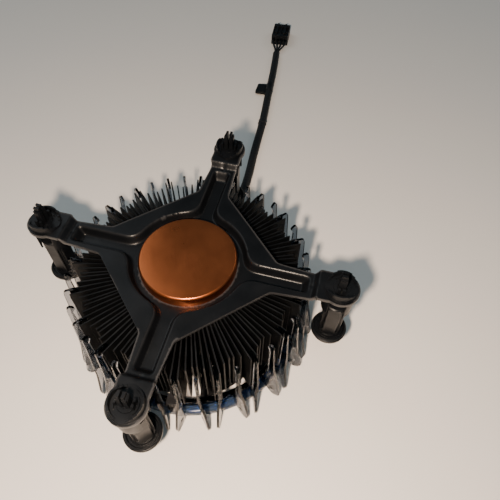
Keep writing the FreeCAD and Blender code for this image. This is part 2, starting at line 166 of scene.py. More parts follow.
def fin_material():
    """Black anodising, with the faces that look up painted paler: a painted highlight along the fins'
    upper edges.
    """
    made, tree, shader, coords = node_material("black_anodised")
    # Painted highlight: faces that look up take the paler colour mixed below.
    painted_top_light = upward(tree)
    wear = spread(tree, noise(tree, coords, 160.0, 5.0), 0.0, 1.0)
    edge = colour_mix(tree, wear, (0.0013, 0.0015, 0.0019), (0.0042, 0.0050, 0.0060))
    tree.links.new(colour_mix(tree, painted_top_light, (0.0012, 0.0014, 0.0017), edge), shader.inputs["Base Color"])
    streaks = noise(tree, coords, 500.0, 3.0, (1, 1, 0.05))
    tree.links.new(spread(tree, streaks, 0.42, 0.56), shader.inputs["Roughness"])
    shader.inputs["Specular IOR Level"].default_value = 0.15
    add_bump(tree, shader, streaks, 0.00003)
    return made


def bracket_material():
    """Satin black coating over pressed steel, with a painted highlight on its ridges."""
    made, tree, shader, coords = node_material("bracket_coating")
    mottle = spread(tree, noise(tree, coords, 70.0, 6.0), 0.0, 1.0)
    tone = colour_mix(tree, mottle, (0.0015, 0.0018, 0.0023), (0.0034, 0.0040, 0.0050))
    geometry = tree.nodes.new("ShaderNodeNewGeometry")
    # Painted highlight: where pointiness is high, on the ridges and edges, the colour turns paler grey.
    ridge = spread(tree, geometry.outputs["Pointiness"], 0.0, 0.55, 0.53, 0.62)
    tree.links.new(colour_mix(tree, ridge, tone, (0.04, 0.04, 0.042)), shader.inputs["Base Color"])
    smudges = noise(tree, coords, 110.0, 5.0)
    tree.links.new(spread(tree, smudges, 0.30, 0.40), shader.inputs["Roughness"])
    shader.inputs["Specular IOR Level"].default_value = 0.24
    peel = noise(tree, coords, 1100.0, 2.0)
    add_bump(tree, shader, peel, 0.000025)
    return made


def clear_material(name, tint, second, rough, transmission, density, absorbed, ior):
    """A see-through moulding that darkens with the length of the light's path inside it."""
    made, tree, shader, coords = node_material(name)
    flow = spread(tree, noise(tree, coords, 90.0, 3.0, (1, 1, 0.4)), 0.0, 1.0)
    tree.links.new(colour_mix(tree, flow, tint, second), shader.inputs["Base Color"])
    haze = noise(tree, coords, 200.0, 4.0)
    tree.links.new(spread(tree, haze, rough, rough + 0.08), shader.inputs["Roughness"])
    shader.inputs["Transmission Weight"].default_value = transmission
    shader.inputs["IOR"].default_value = ior
    add_bump(tree, shader, noise(tree, coords, 350.0, 2.0), 0.00002)
    smoke = tree.nodes.new("ShaderNodeVolumeAbsorption")
    smoke.inputs["Color"].default_value = (*absorbed, 1)
    smoke.inputs["Density"].default_value = density
    output = tree.nodes["Material Output"]
    tree.links.new(smoke.outputs["Volume"], output.inputs["Volume"])
    return made


def braid_material(name, dark, light, diameter):
    """A fine woven sleeve: two crossed sets of threads run round the cable."""
    made, tree, shader, coords = node_material(name)
    threads = []
    for lean in (1.0, -1.0):
        wave = tree.nodes.new("ShaderNodeTexWave")
        wave.bands_direction = "DIAGONAL"
        wave.inputs["Scale"].default_value = 0.9 / diameter
        wave.inputs["Distortion"].default_value = 0.3
        mapping = tree.nodes.new("ShaderNodeMapping")
        mapping.inputs["Scale"].default_value = (lean, 1.0, 1.0)
        tree.links.new(coords, mapping.inputs["Vector"])
        tree.links.new(mapping.outputs["Vector"], wave.inputs["Vector"])
        threads.append(wave.outputs["Fac"])
    weave = tree.nodes.new("ShaderNodeMath")
    weave.operation = "MAXIMUM"
    tree.links.new(threads[0], weave.inputs[0])
    tree.links.new(threads[1], weave.inputs[1])
    tree.links.new(colour_mix(tree, weave.outputs["Value"], dark, light), shader.inputs["Base Color"])
    fuzz = noise(tree, coords, 900.0, 4.0)
    tree.links.new(spread(tree, fuzz, 0.50, 0.70), shader.inputs["Roughness"])
    shader.inputs["Specular IOR Level"].default_value = 0.25
    add_bump(tree, shader, weave.outputs["Value"], 0.0001)
    return made


MATERIALS = {
    "copper": copper_material(),
    "anodised_fins": fin_material(),
    "bracket_paint": bracket_material(),
    "black_nylon": moulded("black_nylon", (0.0018, 0.0022, 0.0028), (0.0045, 0.0053, 0.0066), 0.36),
    "smoky_clear": clear_material(
        "smoky_clear", (0.79, 0.80, 0.81), (0.86, 0.865, 0.87), rough=0.02,
        transmission=1.0, density=850.0, absorbed=(0.34, 0.37, 0.42), ior=1.19),
    "blue_clear": clear_material(
        "blue_clear", (0.30, 0.47, 0.68), (0.40, 0.57, 0.76), rough=0.05,
        transmission=0.95, density=560.0, absorbed=(0.10, 0.36, 0.60), ior=1.36),
    "black_plastic": moulded("black_plastic", (0.006, 0.006, 0.0065), (0.012, 0.012, 0.013), 0.28),
    "board_green": moulded("board_green", (0.02, 0.12, 0.05), (0.03, 0.16, 0.07), 0.35),
    "lamination_steel": moulded(
        "lamination_steel", (0.32, 0.32, 0.33), (0.46, 0.46, 0.47), 0.4, 500.0, metallic=1.0),
    "enamelled_wire": moulded(
        "enamelled_wire", (0.45, 0.17, 0.06), (0.66, 0.30, 0.12), 0.28, 1500.0, 0.00008, 0.9),
    "bronze": moulded("bronze", (0.42, 0.28, 0.12), (0.56, 0.40, 0.20), 0.4, metallic=1.0),
    "magnet_grey": moulded("magnet_grey", (0.06, 0.06, 0.065), (0.10, 0.10, 0.10), 0.6),
    "shaft_steel": moulded(
        "shaft_steel", (0.55, 0.55, 0.57), (0.66, 0.66, 0.68), 0.24, 700.0, metallic=1.0),
    "white_plastic": moulded("white_plastic", (0.70, 0.70, 0.68), (0.80, 0.80, 0.78), 0.45),
    "badge_film": moulded("badge_film", (0.05, 0.05, 0.055), (0.08, 0.08, 0.085), 0.32),
    "cable_sleeve": braid_material(
        "cable_sleeve", (0.0012, 0.0014, 0.0018), (0.006, 0.007, 0.0085), diameter=0.0042),
    "heat_shrink": moulded("heat_shrink", (0.0025, 0.003, 0.0036), (0.006, 0.007, 0.0085), 0.36),
    "wire_insulation": moulded(
        "wire_insulation", (0.003, 0.0035, 0.0042), (0.008, 0.009, 0.0105), 0.38),
    "connector_plastic": moulded(
        "connector_plastic", (0.002, 0.0024, 0.003), (0.005, 0.006, 0.0072), 0.42),
    "tinned_contacts": moulded(
        "tinned_contacts", (0.55, 0.55, 0.52), (0.70, 0.70, 0.67), 0.28, metallic=1.0),
}


def paint_cad_nodes():
    """Every CAD node takes its record slot's material."""
    for entry in frame["record"]["subparts"]:
        mesh = nodes[entry["node"]].data
        mesh.materials.clear()
        mesh.materials.append(MATERIALS[entry["material_slot"]])


# Mesh tools, in millimetres

class Shell:
    """Collects closed shapes, in millimetres, that become one object."""

    def __init__(self):
        self.points = []
        self.faces = []

    def add(self, points, faces, place=None):
        start = len(self.points)
        place = place or Matrix.Identity(4)
        self.points += [place @ Vector(p) for p in points]
        self.faces += [tuple(start + i for i in face) for face in faces]

    def prism(self, outline, low, high, place=None):
        """An anticlockwise outline in XY, raised from low to high."""
        count = len(outline)
        points = [(x, y, low) for x, y in outline] + [(x, y, high) for x, y in outline]
        faces = [tuple(reversed(range(count))), tuple(range(count, 2 * count))]
        for i in range(count):
            after = (i + 1) % count
            faces.append((i, after, count + after, count + i))
        self.add(points, faces, place)

    def block(self, low, high, place=None):
        outline = [(low[0], low[1]), (high[0], low[1]), (high[0], high[1]), (low[0], high[1])]
        self.prism(outline, low[2], high[2], place)

    def lathe(self, profile, place=None, steps=48, start=0.0, sweep=360.0):
        """A closed (radius, z) profile turned about Z, all round or through an arc."""
        whole = sweep >= 360.0
        rows = steps if whole else steps + 1
        count = len(profile)
        points = []
        for row in range(rows):
            angle = math.radians(start + sweep * row / steps)
            points += [(r * math.cos(angle), r * math.sin(angle), z) for r, z in profile]
        faces = []
        for row in range(steps):
            near = row * count
            far = ((row + 1) % rows) * count
            for i in range(count):
                after = (i + 1) % count
                faces.append((near + i, near + after, far + after, far + i))
        if not whole:
            faces.append(tuple(reversed(range(count))))
            faces.append(tuple(range(steps * count, (steps + 1) * count)))
        self.add(points, faces, place)

    def slab(self, front, back, place):
        """Two like grids of points, rows of columns, joined round their edges into a closed sheet."""
        rows = len(front)
        width = len(front[0])
        points = [p for grid in (front, back) for row in grid for p in row]
        other = rows * width
        faces = []
        for i in range(rows - 1):
            for j in range(width - 1):
                a = i * width + j
                faces.append((a, a + 1, a + width + 1, a + width))
                faces.append((other + a, other + a + width, other + a + width + 1, other + a + 1))
            for j in (0, width - 1):
                a = i * width + j
                faces.append((a, a + width, other + a + width, other + a))
        for i in (0, rows - 1):
            for j in range(width - 1):
                a = i * width + j
                faces.append((a, a + 1, other + a + 1, other + a))
        self.add(points, faces, place)

    def tube(self, path, radius, sides):
        """A round wire along a list of points, closed at both ends."""
        points = []
        side = Vector((0, 0, 1))
        for i, here in enumerate(path):
            before = path[max(i - 1, 0)]
            after = path[min(i + 1, len(path) - 1)]
            along = (Vector(after) - Vector(before)).normalized()
            side = (side - along * side.dot(along)).normalized()
            other = along.cross(side)
            for step in range(sides):
                angle = 2 * math.pi * step / sides
                points.append(Vector(here) + (side * math.cos(angle) + other * math.sin(angle)) * radius)
        faces = []
        for row in range(len(path) - 1):
            for step in range(sides):
                after = (step + 1) % sides
                faces.append((row * sides + step, row * sides + after,
                              (row + 1) * sides + after, (row + 1) * sides + step))
        faces.append(tuple(reversed(range(sides))))
        last = (len(path) - 1) * sides
        faces.append(tuple(range(last, last + sides)))
        self.add(points, faces)

    def finish(self, name, slot, body, replaced, smooth, bevel=0.0):
        """Welds the shapes' doubled points and makes them one visible piece."""
        mesh = bpy.data.meshes.new(name)
        mesh.from_pydata([p * MM for p in self.points], [], self.faces)
        tidy = bmesh.new()
        tidy.from_mesh(mesh)
        bmesh.ops.remove_doubles(tidy, verts=tidy.verts, dist=0.000001)
        degenerate = [f for f in tidy.faces if f.calc_area() < 1e-14]
        bmesh.ops.delete(tidy, geom=degenerate, context="FACES")
        bmesh.ops.recalc_face_normals(tidy, faces=tidy.faces)
        tidy.to_mesh(mesh)
        tidy.free()
        return as_piece(name, mesh, slot, body, replaced, smooth, bevel)


def as_piece(name, mesh, slot, body, replaced, smooth, bevel=0.0):
    """A visible piece: smooth up to an angle, its edges bevelled by some millimetres."""
    made = bpy.data.objects.new(name, mesh)
    bpy.context.scene.collection.objects.link(made)
    mesh.materials.append(MATERIALS[slot])
    mesh.shade_smooth()
    mesh.set_sharp_from_angle(angle=math.radians(smooth))
    if bevel:
        rounding = made.modifiers.new("rounding", "BEVEL")
        rounding.width = bevel * MM
        rounding.segments = 2
        rounding.limit_method = "ANGLE"
        rounding.angle_limit = math.radians(smooth)
        rounding.harden_normals = True
    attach(made, body)
    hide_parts(*replaced)
    return made


def at(x, y, z=0.0, turn=0.0):
    return Matrix.Translation((x, y, z)) @ Matrix.Rotation(math.radians(turn), 4, "Z")


def arc(centre, radius, first, last, steps):
    points = []
    for step in range(steps + 1):
        angle = math.radians(first + (last - first) * step / steps)
        points.append((centre[0] + radius * math.cos(angle), centre[1] + radius * math.sin(angle)))
    return points


def smooth_step(value, low, high):
    share = min(max((value - low) / (high - low), 0.0), 1.0)
    return share * share * (3 - 2 * share)


def ramp(value, low, high):
    return min(max((value - low) / (high - low), 0.0), 1.0)


def rounded(points, radius, steps=4):
    """An outline with each corner rounded, by as much as its sides allow."""
    result = []
    count = len(points)
    for i, point in enumerate(points):
        here = Vector(point)
        before = Vector(points[i - 1]) - here
        after = Vector(points[(i + 1) % count]) - here
        reach = min(radius, before.length * 0.45, after.length * 0.45)
        start = here + before.normalized() * reach
        end = here + after.normalized() * reach
        for step in range(steps + 1):
            t = step / steps
            place = start * (1 - t) ** 2 + here * 2 * t * (1 - t) + end * t ** 2
            result.append((place.x, place.y))
    return result


# Bracket: pressed sheet with a sunk star, four arms and four raised pads

SHEET = 1.5
RECESS_DEPTH = 3.6
RECESS_R = 20.3
RECESS_BLEND = 5.0      # how widely the ring's recess flows into the channels
CHANNEL_HALF = 2.3
CHANNEL_END = 43.0
CHANNEL_RAMP = (CHANNEL_END - 1.4, CHANNEL_END + 1.6)
BODY_HALF = 26.75
CORNER_HALF = 18.1
STEP_FOOT = 45.6        # the pad's step rises between these distances from the axis
STEP_HEAD = 47.2
DART_DEPTH = 0.35       # a pressed crease that runs up the step
DART_ENDS = (43.4, 46.4, 48.4)
ARM_HALF = 5.2
PAD_WAIST_HALF = 5.8
PAD_CENTRE = PIN_OFFSET * math.sqrt(2)
PAD_R = 6.5
CORE_R = 17.8
PIN_HOLE_R = 3.6
GRID = 0.45             # between the mesh's points


def bracket_outline():
    """A quarter is one arm: its corners at both sides and the pad's round end."""
    corner_u = (BODY_HALF + CORNER_HALF) / math.sqrt(2)
    corner_v = (BODY_HALF - CORNER_HALF) / math.sqrt(2)
    pad_arc = arc((PAD_CENTRE, 0), PAD_R, -118, 118, 30)
    side = [(corner_u, corner_v), (44.2, ARM_HALF), (46.4, ARM_HALF)]
    side += [(47.4, PAD_WAIST_HALF), (50.6, PAD_WAIST_HALF)]
    arm = [(u, -v) for u, v in side] + pad_arc + side[::-1]
    outline = []
    for quarter in range(4):
        angle = math.radians(45 + 90 * quarter)
        cosine = math.cos(angle)
        sine = math.sin(angle)
        outline += [(u * cosine - v * sine, u * sine + v * cosine) for u, v in arm]
    return rounded(outline, 1.1, 3)


def divided(outline, spacing):
    """The same closed outline with points no further apart than spacing."""
    points = []
    for i, here in enumerate(outline):
        after = outline[(i + 1) % len(outline)]
        length = math.dist(here, after)
        parts = max(1, math.ceil(length / spacing))
        for part in range(parts):
            t = part / parts
            points.append((here[0] + (after[0] - here[0]) * t, here[1] + (after[1] - here[1]) * t))
    return points


def smaller_of(a, b, blend):
    """The smaller value, with the crease between the two rounded over."""
    share = min(max(0.5 + 0.5 * (b - a) / blend, 0.0), 1.0)
    return b + (a - b) * share - blend * share * (1 - share)


def along_arm(x, y):
    """Distances along and across the nearest arm."""
    return (abs(x) + abs(y)) / math.sqrt(2), (abs(x) - abs(y)) / math.sqrt(2)


def recess_distance(x, y):
    """Distance outside the sunk star's floor, negative within it."""
    ring = math.hypot(x, y) - RECESS_R
    u, v = along_arm(x, y)
    past = max(u - CHANNEL_END, 0.0)
    channel = math.hypot(past, v) - CHANNEL_HALF
    return smaller_of(ring, channel, RECESS_BLEND)


def sheet_height(x, y):
    """The upper face: flat, sunk in the star, raised at the pads and creased on the steps."""
    u, v = along_arm(x, y)
    rise = PAD_STEP * ramp(u, STEP_FOOT, STEP_HEAD)
    depth = RECESS_DEPTH * (1 - smooth_step(recess_distance(x, y), -0.3, 1.3))
    depth *= 1 - smooth_step(u, *CHANNEL_RAMP)
    start, middle, end = DART_ENDS
    reach = smooth_step(u, start, middle) * (1 - smooth_step(u, middle, end))
    half_width = 0.2 + 0.4 * max(0.0, u - start)
    dart = DART_DEPTH * reach * max(0.0, 1 - abs(v) / half_width)
    return SHEET_TOP + rise - depth - dart


def inside(point, outline):
    """Whether a point is within a closed outline, by counting the sides it looks across."""
    x, y = point
    found = False
    for i, (x1, y1) in enumerate(outline):
        x0, y0 = outline[i - 1]
        if (y0 > y) != (y1 > y) and x < (x1 - x0) * (y - y0) / (y1 - y0) + x0:
            found = not found
    return found


def in_a_hole(point):
    """Whether a point is within the core's hole or a fastener's."""
    if math.hypot(*point) < CORE_R + 0.04:
        return True
    holes = [(sx * PIN_OFFSET, sy * PIN_OFFSET) for sx, sy in CORNERS]
    return any(math.dist(point, hole) < PIN_HOLE_R - 0.02 for hole in holes)


def grid_points():
    """Points within the sheet, in rows whose every second one is shifted."""
    points = []
    limit = PIN_OFFSET + PAD_R
    count = int(2 * limit / GRID)
    for i in range(count):
        for j in range(count):
            x = -limit + GRID * (i + 0.5 * (j % 2))
            y = -limit + GRID * j
            u, v = along_arm(x, y)
            on_body = max(abs(x), abs(y)) < BODY_HALF - 0.3 * GRID
            on_arm = abs(v) < PAD_R and u > 28
            if (on_body or on_arm) and math.hypot(x, y) > CORE_R + GRID * 0.6:
                points.append(Vector((x, y)))
    return points


def build_bracket():
    """A fine net of faces between the outline and the holes, raised into the pressed sheet."""
    loops = [divided(bracket_outline(), GRID)]
    loops.append(arc((0, 0), CORE_R + 0.05, 0, 360, 180)[:-1])
    for sx, sy in CORNERS:
        loops.append(arc((sx * PIN_OFFSET, sy * PIN_OFFSET), PIN_HOLE_R, 0, 360, 32)[:-1])
    points = []
    edges = []
    for loop in loops:
        start = len(points)
        points += [Vector(p) for p in loop]
        edges += [(start + i, start + (i + 1) % len(loop)) for i in range(len(loop))]
    points += grid_points()
    flat = delaunay_2d_cdt(points, edges, [], 1, 1e-5)
    kept = []
    for face in flat[2]:
        middle = sum((flat[0][i] for i in face), Vector((0, 0))) / len(face)
        if not in_a_hole(middle) and inside(middle, loops[0]):
            kept.append(face)
    mesh = bpy.data.meshes.new("pressed_bracket")
    raised = [(p.x * MM, p.y * MM, sheet_height(p.x, p.y) * MM) for p in flat[0]]
    mesh.from_pydata(raised, [], kept)
    tidy = bmesh.new()
    tidy.from_mesh(mesh)
    loose = [v for v in tidy.verts if not v.link_faces]
    bmesh.ops.delete(tidy, geom=loose, context="VERTS")
    bmesh.ops.recalc_face_normals(tidy, faces=tidy.faces)
    if sum(f.normal.z for f in tidy.faces) < 0:
        bmesh.ops.reverse_faces(tidy, faces=tidy.faces)
    tidy.to_mesh(mesh)
    tidy.free()
    piece = as_piece("pressed_bracket", mesh, "bracket_paint", "base", ["mounting_bracket"], smooth=50)
    thickness = piece.modifiers.new("thickness", "SOLIDIFY")
    thickness.thickness = SHEET * MM
    thickness.offset = -1.0
    edge = piece.modifiers.new("edge", "BEVEL")
    edge.width = 0.22 * MM
    edge.segments = 2
    edge.limit_method = "ANGLE"
    edge.angle_limit = math.radians(60)


# Light guide: forty vanes that stand on a ring, each with a broad, twisted leaf at its foot

VANE_TOP = 41.8
VANE_HALF = 0.48        # half the sheet's thickness
VANE_WALL_R = 43.5      # the inner edge, clear of the fins
LONG_TOP_R = 39.7       # how far in a vane's arched top reaches
SHORT_TOP_R = 42.3
LEAF_TWIST = 24.0       # degrees
LEAF_ROOT = 44.1        # the radius it turns about
LEAF_START = 25.0       # heights between which the twist grows to its full size
LEAF_FULL = 15.0
GROUPS = 20
GROUP_PITCH = 360.0 / GROUPS
GROUP_START = 3.0
RING_IN_R = 38.4
RING_OUT_R = 40.2
ACCENT_OUT_R = 43.2
ACCENT_TOP = 5.2
POST_ANGLE = 52.5
VANE_COLUMNS = 8


def edge_radius(edge, z):
    """The radius of an edge of (z, radius) points at a height."""
    for (low, near), (high, far) in zip(edge, edge[1:]):
        if z <= high:
            return near + (far - near) * (z - low) / (high - low)
    return edge[-1][1]


def add_vane(shell, inner_top, twist, place):
    """One closed sheet, row by row from the leaf's rounded tip to the arched top."""
    inner = [(0.0, 47.8), (0.12, 47.2), (0.5, 46.6), (1.5, 45.9), (3.2, 45.0), (4.7, 44.4), (5.25, 44.2),
             (5.3, RING_OUT_R - 0.5), (7.4, RING_OUT_R - 0.5), (9.6, 42.6), (12.0, VANE_WALL_R),
             (37.4, VANE_WALL_R), (38.9, (VANE_WALL_R + inner_top) / 2), (39.9, inner_top),
             (41.0, inner_top + 0.4), (VANE_TOP, inner_top + 1.3)]
    outer = [(0.0, 48.0), (0.12, 48.5), (0.6, 49.0), (1.5, 49.35), (2.6, 49.45), (4.6, 49.3),
             (8.6, 48.5), (14.0, 47.4), (21.0, 46.4), (29.0, 45.7), (36.0, 45.25), (40.4, 44.95),
             (41.3, 44.6), (VANE_TOP, 43.9)]
    levels = sorted({z for z, r in inner + outer} | {10.8, 16.5, 19.0, 24.0, 26.5, 32.5, 39.4})
    near = []
    far = []
    for z in levels:
        start = edge_radius(inner, z)
        end = edge_radius(outer, z)
        bend = math.radians(twist) * (1 - smooth_step(z, LEAF_FULL, LEAF_START))
        near_row = []
        far_row = []
        for column in range(VANE_COLUMNS + 1):
            radius = start + (end - start) * column / VANE_COLUMNS
            past = max(radius - LEAF_ROOT, 0.0)
            angle = bend * smooth_step(past, 0.0, 1.2)
            x = min(radius, LEAF_ROOT) + past * math.cos(angle)
            y = past * math.sin(angle)
            step_x = VANE_HALF * math.sin(angle)
            step_y = VANE_HALF * math.cos(angle)
            near_row.append((x + step_x, y - step_y, z))
            far_row.append((x - step_x, y + step_y, z))
        near.append(near_row)
        far.append(far_row)
    shell.slab(near, far, place)


def build_light_shroud():
    """The ring, a long and a short vane to each group of fins, and four posts with pegs."""
    shell = Shell()
    shell.lathe([(RING_IN_R, 0.4), (RING_IN_R + 0.4, 0.0), (RING_OUT_R - 0.3, 0.0), (RING_OUT_R, 0.3),
                 (RING_OUT_R, 7.4), (RING_OUT_R - 0.5, 8.0), (RING_IN_R + 0.4, 8.0), (RING_IN_R, 7.6)],
                steps=144)
    for group in range(GROUPS):
        for step, inner_top, twist in ((0.0, LONG_TOP_R, -LEAF_TWIST), (0.5, SHORT_TOP_R, LEAF_TWIST)):
            angle = GROUP_START + (group + step) * GROUP_PITCH
            add_vane(shell, inner_top, twist, Matrix.Rotation(math.radians(angle), 4, "Z"))
    for quarter in range(4):
        turn = Matrix.Rotation(math.radians(POST_ANGLE + 90 * quarter), 4, "Z")
        shell.block((RING_OUT_R - 0.5, -2.2, ACCENT_TOP + 0.05), (43.4, 2.2, 14.0), turn)
        shell.lathe([(0.02, 13.6), (1.1, 13.6), (1.1, 15.3), (0.02, 15.3)],
                    turn @ Matrix.Translation((41.8, 0, 0)), steps=20)
    shell.finish("light_guide", "smoky_clear", "base", ["light_shroud"], smooth=50, bevel=0.2)


def build_accent_ring():
    """A rounded band with a fine groove round its outside."""
    low = height("accent_ring", 0)
    high = height("accent_ring", 1)
    inner = RING_OUT_R + 0.02
    profile = [(inner, low + 0.3), (inner + 0.3, low)]
    profile += arc((ACCENT_OUT_R - 1.2, low + 1.2), 1.2, -90, 0, 6)
    profile += [(ACCENT_OUT_R, low + 1.7), (ACCENT_OUT_R - 0.25, low + 1.9)]
    profile += [(ACCENT_OUT_R - 0.25, low + 2.2), (ACCENT_OUT_R, low + 2.4)]
    profile += arc((ACCENT_OUT_R - 1.2, high - 1.2), 1.2, 0, 90, 6)
    profile += [(inner + 0.3, high), (inner, high - 0.3)]
    shell = Shell()
    shell.lathe(profile, steps=180)
    shell.finish("glow_ring", "blue_clear", "base", ["accent_ring"], smooth=40)


# Copper core: a turned slug with a rounded rim and a face that domes by a hair

def build_core():
    top = height("contact_core", 1)
    bottom = height("contact_core", 0)
    profile = [(0.02, bottom), (CORE_R, bottom), (CORE_R, top - 0.95), (CORE_R - 0.04, top - 0.78)]
    profile += [(CORE_R - 0.26, top - 0.42), (CORE_R - 0.52, top - 0.14), (CORE_R - 0.68, top - 0.05)]
    profile += [(CORE_R - 0.85, top - 0.03), (12.0, top - 0.02), (6.0, top - 0.01), (0.02, top)]
    shell = Shell()
    shell.lathe(profile, steps=180)
    shell.finish("contact_disc", "copper", "base", ["contact_core"], smooth=60)


# Fan: a hub cup with curved blades

HUB_R = 16.0
HUB_TOP = 12.6
HUB_WALL = 1.4
BLADES = 9
BLADE_START = 24.0      # degrees
BLADE_R = 37.6
BLADE_LOW = 3.5
BLADE_HIGH = 12.3
SHAFT_R = 1.5


def add_blade(shell, place):
    """A cambered blade, wider and flatter towards its tip, with rounded corners."""
    radii = [HUB_R - 0.5, 18.5, 21.5, 25.0, 28.5, 32.0, 35.0, 36.9, BLADE_R]
    across = 10
    sides = []
    for side in (-1, 1):
        rows = []
        for radius in radii:
            share = (radius - HUB_R) / (BLADE_R - HUB_R)
            width = 11.0 + 7.5 * share
            if radius == BLADE_R:
                width -= 2.4
            skew = -5.0 * share ** 2
            thickness = 1.5 - 0.5 * share
            row = []
            for step in range(across + 1):
                along = step / across
                angle = math.radians(skew) + (along - 0.5) * width / radius
                camber = 0.9 * math.sin(math.pi * along)
                z = BLADE_LOW + thickness / 2 + (BLADE_HIGH - BLADE_LOW - thickness - 0.9) * along + camber
                taper = 0.35 + 0.65 * math.sin(math.pi * along) ** 0.5
                z += side * thickness / 2 * taper
                row.append((radius * math.cos(angle), radius * math.sin(angle), z))
            rows.append(row)
        sides.append(rows)
    shell.slab(sides[0], sides[1], place)


def build_rotor():
    """A cup with a fine groove in its face and a boss for the shaft, and the blades round it."""
    low = height("fan_rotor", 0)
    inner = HUB_R - HUB_WALL
    floor = low + HUB_WALL
    shell = Shell()
    profile = [(0.02, low + 0.02), (13.4, low + 0.02), (13.5, low + 0.2), (13.9, low + 0.2), (14.0, low)]
    profile += arc((HUB_R - 1.2, low + 1.2), 1.2, -90, 0, 6)
    profile += [(HUB_R, HUB_TOP - 0.3), (HUB_R - 0.3, HUB_TOP), (inner + 0.25, HUB_TOP)]
    profile += [(inner, HUB_TOP - 0.25), (inner, floor + 0.4), (inner - 0.4, floor), (3.3, floor)]
    profile += [(3.2, 4.2), (SHAFT_R, 4.2), (SHAFT_R, low + 0.62), (0.02, low + 0.62)]
    shell.lathe(profile, steps=96)
    for index in range(BLADES):
        turn = math.radians(BLADE_START + 360.0 * index / BLADES)
        add_blade(shell, Matrix.Rotation(turn, 4, "Z"))
    shell.finish("impeller", "black_plastic", "rotor", ["fan_rotor"], smooth=40)


# Fasteners, drawn at the axis with +X pointing away from the fan, then set in place

FLANGE_R = 6.0
FLANGE_SEAT = PAD_TOP + 0.02
FLANGE_TOP = FLANGE_SEAT + 0.5
SLEEVE_R = 5.5
SLEEVE_WALL = 0.7
SLEEVE_BOTTOM = 36.5
ROOF_BOTTOM = PAD_TOP - 3.0
ROOF_TOP = PAD_TOP - 1.52
COLUMN_R = 4.45
COLUMN_TOP = 40.0
COLUMN_TURNS = {1: 0, 2: 0, 3: 0, 4: -42}       # degrees, as each pin happens to stand
PRONG_TOP = height("fastener_base_1", 1)
PRONG_SLIT = 0.35       # half the gap between the two halves
CAP_BOTTOM = height("fastener_cap_1", 0)
CAP_TOP = height("fastener_cap_1", 1)
CAP_FLOOR = CAP_BOTTOM + 1.5
CAP_R = 6.8


def fastener_place(number):
    sx, sy = CORNERS[number - 1]
    return at(sx * PIN_OFFSET, sy * PIN_OFFSET, 0, math.degrees(math.atan2(sy, sx)))


def lobed_circle(radius, bump, lobes, steps=72):
    """A circle that swells a little at each lobe's angle."""
    points = []
    for step in range(steps):
        angle = 360.0 * step / steps
        swell = 0.0
        for lobe in lobes:
            apart = abs((angle - lobe + 180) % 360 - 180)
            swell = max(swell, bump * (1 - smooth_step(apart, 4, 16)))
        reach = radius - bump + swell
        points.append((reach * math.cos(math.radians(angle)), reach * math.sin(math.radians(angle))))
    return points


def grooved_round(radius, flat, grooves, depth, half_width, steps=96):
    """A round section with four flats and narrow grooves at some angles, all in degrees."""
    points = []
    for step in range(steps):
        angle = 360.0 * step / steps
        reach = radius
        for facet in (0, 90, 180, 270):
            apart = math.radians((angle - facet + 180) % 360 - 180)
            if abs(apart) < math.radians(60):
                reach = min(reach, flat / math.cos(apart))
        for groove in grooves:
            apart = abs((angle - groove + 180) % 360 - 180)
            if apart < half_width:
                reach = radius - depth
        points.append((reach * math.cos(math.radians(angle)), reach * math.sin(math.radians(angle))))
    return points


def both_ways(side, near, far):
    """The two limits, in rising order, on the side that the sign names."""
    return sorted((side * near, side * far))


def build_fastener_base(number):
    """The flange with its stepped walls, the split prong and, below the pad, the sleeve."""
    place = fastener_place(number)
    seat = FLANGE_SEAT
    top = FLANGE_TOP
    shell = Shell()
    shell.prism(lobed_circle(FLANGE_R, 0.25, (0, 75, 180, 285)), seat, seat + 0.55, place)
    for side in (90, 270):
        for reach, rise in ((72, 0.9), (58, 1.6), (44, 2.3), (28, 2.9)):
            shell.lathe([(4.75, top), (5.65, top), (5.5, seat + rise), (4.9, seat + rise)],
                        place, 20, side - reach, 2 * reach)
        shell.lathe([(3.5, top), (4.1, top), (4.0, seat + 1.2), (3.6, seat + 1.2)],
                    place, 16, side - 40, 80)
    shell.lathe([(1.7, top), (2.9, top), (2.75, seat + 0.95), (1.7, seat + 0.95)], place, 32)
    for side in (-1, 1):
        near, far = both_ways(side, PRONG_SLIT, 1.75)
        shell.block((-1.25, near, seat), (1.25, far, PRONG_TOP - 1.6), place)
        near, far = both_ways(side, PRONG_SLIT, 1.25)
        shell.block((-1.0, near, PRONG_TOP - 1.7), (1.0, far, PRONG_TOP - 0.1), place)
        near, far = both_ways(side, 1.5, 2.0)
        shell.block((-0.8, near, PRONG_TOP - 3.4), (0.8, far, PRONG_TOP - 1.9), place)
        near, far = both_ways(side, 2.35, 3.15)
        for edge in (-1, 1):
            left, right = both_ways(edge, 0.35, 1.35)
            shell.block((left, near, seat + 0.4), (right, far, seat + 3.6), place)
    inner = SLEEVE_R - SLEEVE_WALL
    wall = [(inner, SLEEVE_BOTTOM + 0.3), (SLEEVE_R - 0.35, SLEEVE_BOTTOM),
            (SLEEVE_R, SLEEVE_BOTTOM + 0.3), (SLEEVE_R, PAD_TOP - 1.6), (inner, PAD_TOP - 1.6)]
    for start in (-56, 124):
        shell.lathe(wall, place, 24, start, 112)
    roof = [(3.4, ROOF_BOTTOM), (SLEEVE_R, ROOF_BOTTOM), (SLEEVE_R, ROOF_TOP), (3.4, ROOF_TOP)]
    shell.lathe(roof, place, 48)
    neck = [(1.75, ROOF_BOTTOM), (3.45, ROOF_BOTTOM), (3.45, seat + 0.1), (1.75, seat + 0.1)]
    shell.lathe(neck, place, 32)
    shell.finish("snap_base_%d" % number, "black_nylon", "base", ["fastener_base_%d" % number],
                 smooth=32, bevel=0.12)


